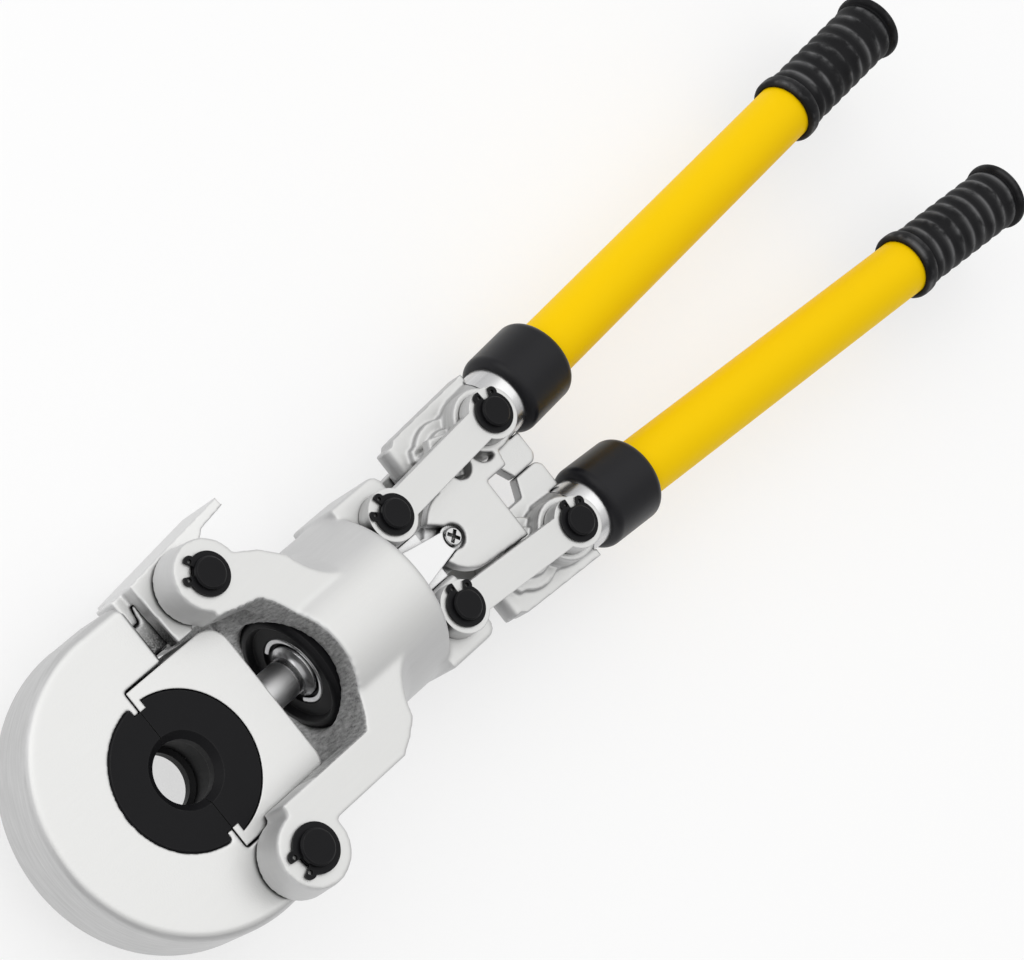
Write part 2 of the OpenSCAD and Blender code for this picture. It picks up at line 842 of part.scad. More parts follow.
// Outline of the left bracket's knuckle, notched in front for the wedge and the handle's swing past it
module cheek_outline() {
    near = notch_side(left, notch_swing);
    far = notch_side(right, 0);
    difference() {
        union() {
            translate([0, cheek_disc_y]) circle(cheek_disc_r);
            polygon([[-cheek_disc_r, cheek_disc_y], [cheek_disc_r, cheek_disc_y], [cheek_far, cheek_rear],
                [gap_edge, cheek_rear], [gap_edge, handle_pin_y - cheek_lap], left_pin,
                left_pin + cheek_hip]);
        }
        polygon([centre, near[0], near[1], far[1], far[0]]);
        translate(centre) circle(centre_pin_d / 2 + running_fit);
        for (c = scallops) translate(left_pin + [c[0], c[1]]) circle(c[2], $fn = eye_fn);
    }
}

// Outline of the left bracket's web, between its outer wing and the lug plate
module web_outline() {
    polygon([left_pin + web_step, [web_inner, centre_y + web_inner_front],
        [web_inner, handle_pin_y + web_rear], left_pin + [0, web_rear], left_pin + web_side,
        left_pin + web_front]);
}

// Outline of the left bracket's lug plate, which reaches the middle line and stops against the other lug
module lug_outline() {
    lug_end = handle_pin_y + lug_tail;
    lug_in = -lug_face - lug_round;
    polygon([[web_inner, centre_y + web_inner_front], [gap_edge, centre_y + gap_front],
        [gap_edge, handle_pin_y + gap_rear[0]], [-lug_face, handle_pin_y + gap_rear[1]],
        [-lug_face, lug_end - lug_round], [lug_in, lug_end], [-lug_width, lug_end],
        left_pin + [0, web_rear], left_pin]);
    translate([lug_in, lug_end - lug_round]) circle(lug_round, $fn = eye_fn);
}

// Outline of the left bracket's outer wing
module wing_outline() {
    front = centre_y + wing_front + wing_half;
    polygon([[left_pin[0] + wing_root, front], [left_pin[0] + wing_corner[0], front],
        [left_pin[0] + wing_corner[1], front + wing_bevel], left_pin + wing_tip, left_pin + [0, wing_tip[1]],
        [web_inner, front + core_front]]);
}

// The wing's round front edge
module wing_nose() {
    translate([left_pin[0] + wing_corner[0], centre_y + wing_front + wing_half]) rotate([0, 90, 0])
        cylinder(r = wing_half, h = wing_root - wing_corner[0], $fn = eye_fn);
}

// Outline of the left bracket's raised middle, between the links
module bracket_core() {
    translate(left_pin) circle(boss_radius);
    polygon([[left_pin[0] + core_out, centre_y + core_front], [web_inner, centre_y + core_front],
        [web_inner, centre_y + core_rear], left_pin + [boss_radius, 0], left_pin + [core_out, 0]]);
}

// A left bracket with its knuckle in front
module bracket() {
    difference() {
        union() {
            layer(cheek_floor, cheek_top) cheek_outline();
            layer(-web_half, web_half) web_outline();
            layer(-lug_plate_half, lug_plate_half) lug_outline();
            layer(-wing_half, wing_half) wing_outline();
            wing_nose();
            for (i = [0, 1]) layer(-step_halves[i], step_halves[i])
                translate(left_pin + step_place) circle(step_radii[i]);
            layer(-cheek_top, cheek_top) bracket_core();
            along_handle(left) cylinder(d = shank_d, h = shank_end);
            along_handle(left) cylinder(d = socket_d, h = socket_front);
        }
        translate(left_pin) pin_bar(link_pin_d + 2 * loop_play, yoke_half + over);
        along_handle(left) translate([0, 0, socket_front]) difference() {
            cylinder(d = socket_d + 2 * socket_gap, h = shank_end);
            translate([0, 0, -over]) cylinder(d = shank_d, h = shank_end + 2 * over);
        }
    }
}

module left_bracket() {
    color("#d2d2d0") bracket();
}

module right_bracket() {
    color("#d2d2d0") rotate([0, 180, 0]) bracket();
}

module socket(side) {
    color("#e2e2e0") along_handle(side) translate([0, 0, socket_front]) difference() {
        cylinder(d = socket_d, h = socket_length);
        translate([0, 0, tube_front - socket_front]) cylinder(d = tube_d, h = socket_length);
        translate([0, 0, -over]) cylinder(d = shank_d, h = socket_length + over);
    }
}

module left_socket() { socket(left); }
module right_socket() { socket(right); }

module collar(side) {
    color("#1f1f22") along_handle(side) rotate_extrude() difference() {
        union() {
            translate([0, collar_front]) square([collar_d / 2 - collar_round, collar_length]);
            translate([0, collar_front + collar_round])
                square([collar_d / 2, collar_length - 2 * collar_round]);
            for (y = [collar_front + collar_round, collar_front + collar_length - collar_round])
                translate([collar_d / 2 - collar_round, y]) circle(collar_round, $fn = eye_fn);
        }
        square([tube_d / 2, 2 * collar_length + collar_front]);
        square([socket_d / 2, socket_front + socket_length]);
    }
}

module left_collar() { collar(left); }
module right_collar() { collar(right); }

module tube(side) {
    color("#f7cb0a") along_handle(side) difference() {
        translate([0, 0, tube_front])
            cylinder(d = tube_d, h = grip_start + grip_length - grip_end_cap - tube_front);
        cylinder(d = shank_d, h = 2 * grip_start);
    }
}

module left_tube() { tube(left); }
module right_tube() { tube(right); }

// Section of a grip: a flange at each end and a row of ribs between, drawn as radius and length
module grip_section() {
    rib_pitch = (grip_length - 2 * grip_flange) / rib_count;
    crest = grip_d / 2;
    flange = grip_flange_d / 2;
    difference() {
        union() {
            square([crest - rib_depth, grip_length]);
            for (y = [0, grip_length - grip_flange]) translate([0, y])
                polygon([[0, 0], [flange - grip_edge, 0], [flange, grip_edge],
                    [flange, grip_flange - grip_edge], [flange - grip_edge, grip_flange], [0, grip_flange]]);
            for (i = [0 : rib_count - 1]) translate([0, grip_flange + i * rib_pitch])
                polygon([[0, 0], [crest - rib_depth, 0], [crest, rib_pitch * rib_rise_share],
                    [crest, rib_pitch * rib_crest_share], [crest - rib_depth, rib_pitch * rib_fall_share],
                    [0, rib_pitch * rib_fall_share]]);
        }
        square([grip_bore_d / 2, grip_length - grip_end_cap]);
    }
}

module grip(side) {
    color("#1b1b1d") along_handle(side) translate([0, 0, grip_start]) rotate_extrude() grip_section();
}

module left_grip() { grip(left); }
module right_grip() { grip(right); }

housing();
guide_bush();
retaining_ring();
hinge_pin();
hinge_circlips();
latch_pin();
latch_circlips();
link_pins();
link_circlips();
jaw_head();
die_lower();
latch();
ram();
die_block();
die_upper();
centre_pin();
pin_screw();
left_bracket();
left_socket();
left_collar();
left_tube();
left_grip();
right_bracket();
right_socket();
right_collar();
right_tube();
right_grip();
left_link_front();
left_link_back();
left_handle_pin();
left_pin_circlips();
right_link_front();
right_link_back();
right_handle_pin();
right_pin_circlips();
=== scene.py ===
# %% [markdown]
# # A hand press tool for pipe sleeves
# The tool is already modelled as solids, one for each piece, and packed as a frame of moving bodies.
# This lesson dresses those solids: it sets up the view and the light, gives each metal, paint, plastic and
# rubber its own finish, and models the pieces that the solids leave plain. Lengths are in metres, apart from
# values whose names end in MM, which are in millimetres.

# %% Load the frame
import json
import math
import bpy
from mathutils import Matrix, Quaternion, Vector


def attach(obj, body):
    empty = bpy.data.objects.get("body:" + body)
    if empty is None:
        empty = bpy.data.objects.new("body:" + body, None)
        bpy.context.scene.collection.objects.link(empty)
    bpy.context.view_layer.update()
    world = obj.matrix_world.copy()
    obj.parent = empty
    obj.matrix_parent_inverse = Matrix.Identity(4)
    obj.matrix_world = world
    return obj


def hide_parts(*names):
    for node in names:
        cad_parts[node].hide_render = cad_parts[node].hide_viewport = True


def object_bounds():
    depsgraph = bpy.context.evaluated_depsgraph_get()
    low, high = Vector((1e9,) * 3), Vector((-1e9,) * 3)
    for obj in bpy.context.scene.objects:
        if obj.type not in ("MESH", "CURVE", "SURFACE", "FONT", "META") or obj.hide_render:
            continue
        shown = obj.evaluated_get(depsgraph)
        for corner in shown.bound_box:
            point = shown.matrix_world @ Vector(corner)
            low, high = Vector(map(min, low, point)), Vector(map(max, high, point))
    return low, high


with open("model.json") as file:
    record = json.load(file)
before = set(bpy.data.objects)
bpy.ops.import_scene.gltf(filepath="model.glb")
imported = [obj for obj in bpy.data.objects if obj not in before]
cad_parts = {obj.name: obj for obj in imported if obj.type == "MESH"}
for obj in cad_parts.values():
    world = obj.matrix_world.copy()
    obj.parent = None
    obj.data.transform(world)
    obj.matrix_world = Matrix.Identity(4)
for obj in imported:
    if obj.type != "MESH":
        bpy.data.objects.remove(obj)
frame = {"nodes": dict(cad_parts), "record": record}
nodes = frame["nodes"]
solid_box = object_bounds()
MM = 0.001
print("nodes:", len(nodes), "box in mm:", [round((b - a) / MM, 1) for a, b in zip(*solid_box)])

# %% [markdown]
# ## The camera
# The tool was photographed from above its dies with a long lens, and the picture is turned so that the
# handles run to the upper right. Sliding a camera about by eye would take many tries. The view was worked out
# once from the round die face, the pins and the straight tubes, so here it is simply a place, a point to look
# at and a turn about the line of sight.

# %% Camera
LENS_MM, SENSOR_MM = 127.28, 36.0
CAMERA_MM = Vector((-114.95, -594.34, 1157.18))
AIM_MM = Vector((0.10, 197.18, 0.0))
PICTURE_TURN = math.radians(58.817)

camera_data = bpy.data.cameras.new("camera")
camera_data.lens = LENS_MM
camera_data.sensor_width = SENSOR_MM
camera_data.clip_start, camera_data.clip_end = 0.05, 20.0
camera = bpy.data.objects.new("camera", camera_data)
bpy.context.scene.collection.objects.link(camera)
camera.location = CAMERA_MM * MM
sight = AIM_MM * MM - camera.location
camera.rotation_mode = "QUATERNION"
camera.rotation_quaternion = sight.to_track_quat("-Z", "Y") @ Quaternion((0, 0, 1), PICTURE_TURN)
bpy.context.scene.camera = camera
bpy.context.scene.view_settings.view_transform = "Standard"
print("camera", round(sight.length, 3), "m from the middle of the tool")

# %% [markdown]
# ## Node helpers
# A material is a small graph. Four short helpers keep the cells below readable: one adds a node and sets its
# plain values, one joins two sockets, one sets the limits of a Map Range node, and one multiplies two masks.

# %% Node helpers
def add(tree, kind, **values):
    """Adds a node, sets its attributes, and sets its inputs where a name is an input's."""
    node = tree.nodes.new(kind)
    for name, value in values.items():
        if hasattr(node, name):
            setattr(node, name, value)
        else:
            node.inputs[name.replace("_", " ")].default_value = value
    return node


def join(tree, source, output, target, entry):
    """Joins an output of one node to an input of another."""
    tree.links.new(source.outputs[output], target.inputs[entry])


def set_range(node, low, high, to_low=0.0, to_high=1.0):
    """Makes a Map Range node turn low to high into to_low to to_high."""
    limits = {"From Min": low, "From Max": high, "To Min": to_low, "To Max": to_high}
    for name, value in limits.items():
        node.inputs[name].default_value = value


def multiply(tree, first, first_output, second, second_output):
    """A node with the product of two values."""
    product = add(tree, "ShaderNodeMath", operation="MULTIPLY")
    join(tree, first, first_output, product, 0)
    join(tree, second, second_output, product, 1)
    return product


print("node helpers:", add.__name__, join.__name__, set_range.__name__, multiply.__name__)

# %% [markdown]
# ## Floor and light
# The photograph has a white ground with only a faint shadow, and soft light that is strongest from above. A
# white floor lit until it clips would wash out the metal, so the floor's own diffuse white is mixed with plain
# white for the rays that come from the camera or from shiny metal. The world is a soft dome, darker on one
# side, which gives the plated surfaces something to reflect. A wide lamp overhead sets the tone of the level
# faces, and a weaker one at the left lights the walls on that side.

# %% Floor
FLOOR_SIZE, FLOOR_MIDDLE = 12.0, (0.0, 0.2)
FLOOR_WHITE, FLOOR_ROUGH = (0.98, 0.98, 0.98, 1), 0.9
PLAIN_WHITE_SHARE = 0.60


def make_floor():
    bpy.ops.object.select_all(action="DESELECT")
    bpy.ops.mesh.primitive_plane_add(size=FLOOR_SIZE, location=(*FLOOR_MIDDLE, solid_box[0].z))
    floor = bpy.context.object
    floor.name = "floor"
    material = bpy.data.materials.new("floor_white")
    material.use_nodes = True
    tree = material.node_tree
    surface = tree.nodes["Principled BSDF"]
    surface.inputs["Base Color"].default_value = FLOOR_WHITE
    surface.inputs["Roughness"].default_value = FLOOR_ROUGH
    white = add(tree, "ShaderNodeEmission", Strength=1.0)
    path = add(tree, "ShaderNodeLightPath")
    shiny = add(tree, "ShaderNodeMath", operation="MAXIMUM")
    seen = add(tree, "ShaderNodeMath", operation="MAXIMUM")
    share = add(tree, "ShaderNodeMath", operation="MULTIPLY")
    share.inputs[1].default_value = PLAIN_WHITE_SHARE
    mix = add(tree, "ShaderNodeMixShader")
    join(tree, path, "Is Glossy Ray", shiny, 0)
    join(tree, path, "Is Transmission Ray", shiny, 1)
    join(tree, path, "Is Camera Ray", seen, 0)
    join(tree, shiny, 0, seen, 1)
    join(tree, seen, 0, share, 0)
    join(tree, share, 0, mix, 0)
    join(tree, surface, "BSDF", mix, 1)
    join(tree, white, 0, mix, 2)
    join(tree, mix, 0, tree.nodes["Material Output"], "Surface")
    floor.data.materials.append(material)
    return floor


print("floor at", round(make_floor().location.z / MM, 1), "mm")

# %% World
DOME_LIGHT_SIDE = Vector((-0.55, 0.25, 0.8)).normalized()
DOME_FROM, DOME_TO = -0.6, 1.0
DOME_DARK, DOME_LIGHT = 0.44, 0.90


def make_world():
    world = bpy.data.worlds.new("studio")
    bpy.context.scene.world = world
    world.use_nodes = True
    tree = world.node_tree
    dome = tree.nodes["Background"]
    dome.inputs["Color"].default_value = (1, 1, 1, 1)
    coordinate = add(tree, "ShaderNodeTexCoord")
    towards = add(tree, "ShaderNodeVectorMath", operation="DOT_PRODUCT")
    towards.inputs[1].default_value = DOME_LIGHT_SIDE
    ramp = add(tree, "ShaderNodeMapRange")
    set_range(ramp, DOME_FROM, DOME_TO, DOME_DARK, DOME_LIGHT)
    path = add(tree, "ShaderNodeLightPath")
    white = add(tree, "ShaderNodeBackground", Strength=1.0)
    mix = add(tree, "ShaderNodeMixShader")
    join(tree, coordinate, "Generated", towards, 0)
    join(tree, towards, "Value", ramp, "Value")
    join(tree, ramp, "Result", dome, "Strength")
    join(tree, path, "Is Camera Ray", mix, 0)
    join(tree, dome, 0, mix, 1)
    join(tree, white, 0, mix, 2)
    join(tree, mix, 0, tree.nodes["World Output"], "Surface")
    return world


print("world:", make_world().name)

# %% Lamps
LAMP_AIM = Vector((0.0, 0.18, 0.0))


def add_lamp(name, place, size, watts):
    data = bpy.data.lights.new(name, "AREA")
    data.shape = "DISK"
    data.size = size
    data.energy = watts
    lamp = bpy.data.objects.new(name, data)
    bpy.context.scene.collection.objects.link(lamp)
    lamp.location = Vector(place)
    lamp.rotation_euler = (LAMP_AIM - lamp.location).to_track_quat("-Z", "Y").to_euler()
    print(name, watts, "W")


add_lamp("key_lamp", place=(-0.2, 0.6, 1.9), size=3.0, watts=8)
add_lamp("fill_lamp", place=(-1.3, -0.8, 1.2), size=1.8, watts=6)

# %% [markdown]
# ## Shared effects
# Four effects turn up in nearly every finish here: grain, rubbed edges, ground lines and painted shade in
# gaps. They could be painted on each piece by hand. Each is a node group with a few inputs instead, so each
# material can use it at its own strength, and a change to the group reaches every piece.

# %% Group helper
FLOAT, VECTOR = "NodeSocketFloat", "NodeSocketVector"


def new_group(name, inputs, outputs):
    group = bpy.data.node_groups.new(name, "ShaderNodeTree")
    for label, kind, value in inputs:
        socket = group.interface.new_socket(label, in_out="INPUT", socket_type=kind)
        socket.default_value = value
    for label, kind in outputs:
        group.interface.new_socket(label, in_out="OUTPUT", socket_type=kind)
    return group, group.nodes.new("NodeGroupInput"), group.nodes.new("NodeGroupOutput")


print("group helper:", new_group.__name__)

# %% [markdown]
# ### Grain
# Castings and plated steel have a skin of very fine grain, and their colour is never quite even. One noise
# gives a height for bumps. A second, much wider one gives slow blotches for colour and roughness.

# %% Grain
def make_grain():
    group, given, put = new_group(
        "fine_grain",
        [("Grain Scale", FLOAT, 900.0), ("Blotch Scale", FLOAT, 60.0)],
        [("Height", FLOAT), ("Blotch", FLOAT)],
    )
    place = add(group, "ShaderNodeTexCoord")
    grain = add(group, "ShaderNodeTexNoise", Detail=3.0, Roughness=0.6)
    blotch = add(group, "ShaderNodeTexNoise", Detail=4.0, Roughness=0.55)
    join(group, place, "Object", grain, "Vector")
    join(group, place, "Object", blotch, "Vector")
    join(group, given, "Grain Scale", grain, "Scale")
    join(group, given, "Blotch Scale", blotch, "Scale")
    join(group, grain, "Fac", put, "Height")
    join(group, blotch, "Fac", put, "Blotch")
    return group


FINE_GRAIN = make_grain()
print("group:", FINE_GRAIN.name)

# %% [markdown]
# ### Rubbed edges
# Handled edges are rubbed brighter or paler than the faces. A Bevel node gives the normal that a rounded edge
# would have. Where it differs from the true normal there is an edge, and a noise breaks that mask up.

# %% Rubbed edges
EDGE_FROM, EDGE_TO = 0.995, 0.88


def make_edges():
    """Rounds the look of sharp edges, and marks them: 0 on faces, 1 along edges."""
    group, given, put = new_group(
        "rubbed_edges",
        [("Radius", FLOAT, 0.0006), ("Breakup", FLOAT, 300.0)],
        [("Edge", FLOAT), ("Normal", VECTOR)],
    )
    soft = add(group, "ShaderNodeBevel", samples=4)
    sharp = add(group, "ShaderNodeNewGeometry")
    alike = add(group, "ShaderNodeVectorMath", operation="DOT_PRODUCT")
    spread = add(group, "ShaderNodeMapRange", interpolation_type="SMOOTHSTEP")
    set_range(spread, EDGE_FROM, EDGE_TO)
    place = add(group, "ShaderNodeTexCoord")
    patch = add(group, "ShaderNodeTexNoise", Detail=2.0)
    join(group, given, "Radius", soft, "Radius")
    join(group, soft, "Normal", alike, 0)
    join(group, sharp, "Normal", alike, 1)
    join(group, alike, "Value", spread, "Value")
    join(group, place, "Object", patch, "Vector")
    join(group, given, "Breakup", patch, "Scale")
    wear_and_sheen = multiply(group, spread, "Result", patch, "Fac")
    join(group, wear_and_sheen, 0, put, "Edge")
    join(group, soft, "Normal", put, "Normal")
    return group


RUBBED_EDGES = make_edges()
print("group:", RUBBED_EDGES.name)

# %% [markdown]
# ### Ground lines
# Ground faces carry fine lines in one direction. A noise that is stretched along one axis gives such lines.
# The group also marks the faces that lie level. Those are the ones that were ground flat, and the steels also
# paint them lighter than the sides, which is partly a painted highlight.

# %% Ground lines
LEVEL_FROM, LEVEL_TO = 0.78, 0.97


def make_ground_lines():
    group, given, put = new_group(
        "ground_lines",
        [("Stretch", VECTOR, (2600.0, 60.0, 2600.0))],
        [("Line", FLOAT), ("Level", FLOAT)],
    )
    place = add(group, "ShaderNodeTexCoord")
    stretch = add(group, "ShaderNodeVectorMath", operation="MULTIPLY")
    line = add(group, "ShaderNodeTexNoise", Scale=1.0, Detail=2.0)
    facing = add(group, "ShaderNodeSeparateXYZ")
    size = add(group, "ShaderNodeMath", operation="ABSOLUTE")
    level = add(group, "ShaderNodeMapRange", interpolation_type="SMOOTHSTEP")
    set_range(level, LEVEL_FROM, LEVEL_TO)
    join(group, place, "Object", stretch, 0)
    join(group, given, "Stretch", stretch, 1)
    join(group, stretch, "Vector", line, "Vector")
    join(group, place, "Normal", facing, "Vector")
    join(group, facing, "Z", size, 0)
    join(group, size, 0, level, "Value")
    join(group, line, "Fac", put, "Line")
    join(group, level, "Result", put, "Level")
    return group


GROUND_LINES = make_ground_lines()
print("group:", GROUND_LINES.name)

# %% [markdown]
# ### Painted shade in gaps
# The narrow gaps and inner corners between pieces are painted darker, as shade. Ambient occlusion over a few
# millimetres finds them.

# %% Painted shade in gaps
GAP_FROM, GAP_TO = 0.62, 0.2


def make_crevices():
    """Marks narrow gaps and inner corners: 0 on open faces, 1 deep in a gap."""
    group, given, put = new_group("crevices", [("Reach", FLOAT, 0.004)], [("Gap", FLOAT)])
    shade = add(group, "ShaderNodeAmbientOcclusion", samples=6)
    spread = add(group, "ShaderNodeMapRange", interpolation_type="SMOOTHSTEP")
    set_range(spread, GAP_FROM, GAP_TO)
    join(group, given, "Reach", shade, "Distance")
    join(group, shade, "AO", spread, "Value")
    join(group, spread, "Result", put, "Gap")
    return group


CREVICES = make_crevices()
print("group:", CREVICES.name)

# %% [markdown]
# ## Parts of a finish
# Every finish starts with a shader, the grain and the rubbed edges, mixes colours by masks, and ends with the
# grain as a bump on top of the rounded edges. These steps are helpers, so that a finish is a short list of
# values.

# %% Parts of a finish
GRAIN_PER_BLOTCH = 14
GRAIN_DEPTH = 0.0002


def start_material(name, radius, grain):
    """A material with its shader, grain and edge groups in place."""
    material = bpy.data.materials.new(name)
    material.use_nodes = True
    tree = material.node_tree
    fine = add(tree, "ShaderNodeGroup", node_tree=FINE_GRAIN)
    fine.inputs["Grain Scale"].default_value = grain
    fine.inputs["Blotch Scale"].default_value = grain / GRAIN_PER_BLOTCH
    edges = add(tree, "ShaderNodeGroup", node_tree=RUBBED_EDGES)
    edges.inputs["Radius"].default_value = radius
    return material, tree, tree.nodes["Principled BSDF"], fine, edges


def blend_colour(tree, first, second, mask, output):
    """Mixes two colours by a mask. Each is three numbers, or a mix made before."""
    mix = add(tree, "ShaderNodeMix", data_type="RGBA")
    for entry, colour in (("A", first), ("B", second)):
        if isinstance(colour, tuple):
            mix.inputs[entry].default_value = (*colour, 1)
        else:
            join(tree, colour, "Result", mix, entry)
    join(tree, mask, output, mix, "Factor")
    return mix


def drift_roughness(tree, surface, fine, low, high):
    """Lets the roughness drift between two values with the blotches."""
    dull = add(tree, "ShaderNodeMapRange")
    set_range(dull, 0.0, 1.0, low, high)
    join(tree, fine, "Blotch", dull, "Value")
    join(tree, dull, "Result", surface, "Roughness")


def bump_grain(tree, surface, fine, edges, strength):
    """Puts the grain on top of the rounded edges, as a bump."""
    skin = add(tree, "ShaderNodeBump", Strength=strength, Distance=GRAIN_DEPTH)
    join(tree, fine, "Height", skin, "Height")
    join(tree, edges, "Normal", skin, "Normal")
    join(tree, skin, "Normal", surface, "Normal")


print("grain depth:", GRAIN_DEPTH / MM, "mm")

# %% [markdown]
# ## Paint, plastic and black steel
# The tubes are painted yellow, the collars are black plastic, and the pins, circlips, dies and bush are black
# steel. These finishes have the same build: a face colour that drifts a little with the blotches, and an edge
# colour mixed in by the edge mask. What sets them apart is a handful of values, so one function makes them all.

# %% Plain finishes
COAT_ROUGH = 0.12


def make_finish(name, face, shade, edge, rough, drift, grain, bump, radius, specular, coat=0.0):
    material, tree, surface, fine, edges = start_material(name, radius, grain)
    surface.inputs["Specular IOR Level"].default_value = specular
    surface.inputs["Coat Weight"].default_value = coat
    surface.inputs["Coat Roughness"].default_value = COAT_ROUGH
    drifting = blend_colour(tree, shade, face, fine, "Blotch")
    rubbed = blend_colour(tree, drifting, edge, edges, "Edge")
    join(tree, rubbed, "Result", surface, "Base Color")
    drift_roughness(tree, surface, fine, rough - drift, rough + drift)
    bump_grain(tree, surface, fine, edges, bump)
    print("finish:", name)
    return material


BLACK_STEEL = make_finish(
    "black_steel", face=(0.008, 0.008, 0.009), shade=(0.004, 0.004, 0.005), edge=(0.050, 0.050, 0.050),
    rough=0.44, drift=0.10, grain=1600, bump=0.20, radius=0.0005, specular=0.14)
BLACK_PLASTIC = make_finish(
    "black_plastic", face=(0.009, 0.009, 0.011), shade=(0.006, 0.006, 0.008), edge=(0.02, 0.02, 0.02),
    rough=0.36, drift=0.06, grain=1500, bump=0.12, radius=0.0006, specular=0.24)
YELLOW_PAINT = make_finish(
    "yellow_paint", face=(0.95, 0.61, 0.0), shade=(0.92, 0.59, 0.0), edge=(0.96, 0.63, 0.001),
    rough=0.46, drift=0.05, grain=700, bump=0.04, radius=0.0004, specular=0.05, coat=0.01)

# %% [markdown]
# ## Raw steel and painted shade
# Three places are darker than the steel round them. One is the raw walls inside the pocket of the housing. The
# other two are painted darker as shade: the groove where the latch catches the jaw and the cross recess of the
# screw. They could be painted by hand, but each lies in a box that is easy to give in numbers. The pocket's box
# also cuts the barrel, so there a second mask leaves out the faces that face away from the middle line of the
# tool. The dark colour itself is streaky, and the grain makes it patchy.

# %% Masks for raw steel and painted shade
INWARD_FROM, INWARD_TO = 0.6, 0.3


def box_mask(tree, box, soft):
    """1 inside a box, falling to 0 over a border as soft as each axis asks."""
    place = add(tree, "ShaderNodeTexCoord")
    parts = add(tree, "ShaderNodeSeparateXYZ")
    join(tree, place, "Object", parts, "Vector")
    mask = None
    for axis, (low, high, border) in enumerate(zip(*box, soft)):
        for edge, sign in ((low, 1), (high, -1)):
            side = add(tree, "ShaderNodeMapRange", interpolation_type="SMOOTHSTEP")
            set_range(side, edge - sign * border, edge + sign * border)
            join(tree, parts, axis, side, "Value")
            mask = side if mask is None else multiply(tree, mask, 0, side, 0)
    return mask


def inward_mask(tree):
    """1 where a face doesn't face away from the Y axis, 0 on the outside of a barrel about it."""
    place = add(tree, "ShaderNodeTexCoord")
    flat = add(tree, "ShaderNodeVectorMath", operation="MULTIPLY")
    flat.inputs[1].default_value = (1, 0, 1)
    away = add(tree, "ShaderNodeVectorMath", operation="NORMALIZE")
    facing = add(tree, "ShaderNodeVectorMath", operation="DOT_PRODUCT")
    mask = add(tree, "ShaderNodeMapRange", interpolation_type="SMOOTHSTEP")
    set_range(mask, INWARD_FROM, INWARD_TO)
    join(tree, place, "Object", flat, 0)
    join(tree, flat, "Vector", away, 0)
    join(tree, away, "Vector", facing, 0)
    join(tree, place, "Normal", facing, 1)
    join(tree, facing, "Value", mask, "Value")
    return mask


print("masks:", box_mask.__name__, inward_mask.__name__)

# %% Raw skin and painted shade
PATCH_SLOPE, PATCH_START = -2.2, 2.0
STREAK_STRETCH = (1000, 1000, 260)
STREAK_DARK, STREAK_PALE = 0.05, 2.1


def raw_skin_and_shade(tree, plain_colour, fine, box, soft, tone, walls_only=False):
    """Mixes a dark, streaky colour over a plain colour, inside a box, for raw skin and for painted shade."""
    mask = box_mask(tree, box, soft)
    if walls_only:
        mask = multiply(tree, mask, 0, inward_mask(tree), "Result")
    mottle = add(tree, "ShaderNodeMath", operation="MULTIPLY_ADD", use_clamp=True)
    mottle.inputs[1].default_value = PATCH_SLOPE
    mottle.inputs[2].default_value = PATCH_START
    join(tree, fine, "Height", mottle, 0)
    patchy = multiply(tree, mask, 0, mottle, 0)
    streaks = add(tree, "ShaderNodeGroup", node_tree=GROUND_LINES)
    streaks.inputs["Stretch"].default_value = STREAK_STRETCH
    streaky = blend_colour(tree, (STREAK_DARK * tone,) * 3, (STREAK_PALE * tone,) * 3, streaks, "Line")
    return blend_colour(tree, plain_colour, streaky, patchy, 0)


POCKET = {"box": ((-0.0352, 0.030, -0.0380), (0.0352, 0.0720, 0.0380)),
          "soft": (0.0006, 0.0006, 0.0006), "tone": 0.4, "walls_only": True}
# painted shade in the groove where the latch catches the jaw
CATCH_SHADE = {"box": ((-0.047, 0.0195, -0.0135), (-0.020, 0.0345, 0.0135)),
         "soft": (0.009, 0.0006, 0.0006), "tone": 0.08}
# painted shade in the cross recess of the screw
RECESS_SHADE = {"box": ((-0.0029, 0.1466, 0.0144), (0.0029, 0.1524, 0.0159)),
          "soft": (0.0001, 0.0001, 0.0001), "tone": 0.02}
print("tones of the pocket, the catch and the recess:", POCKET["tone"], CATCH_SHADE["tone"], RECESS_SHADE["tone"])

# %% [markdown]
# ## Steel
# The castings were ground flat on their level faces, and turned or left as they came from the mould on the
# sides, where the skin is duller and greyer. The mask of the level faces parts the two, and the lighter tone of
# the level faces, as along the top of the barrel, is partly a painted highlight. The links are plated, the
# sockets and the ring are bright, and the housing, jaw, latch, brackets, ram and screw have a tone of their own
# in the photograph. All of them are one build with other values.

# %% Steel
TURNED_STRETCH = (70, 70, 900)
# painted shade: the dark colour mixed into narrow gaps and inner corners
GAP_SHADE = (0.06, 0.06, 0.06)
LINE_ROUGHNESS = 0.10


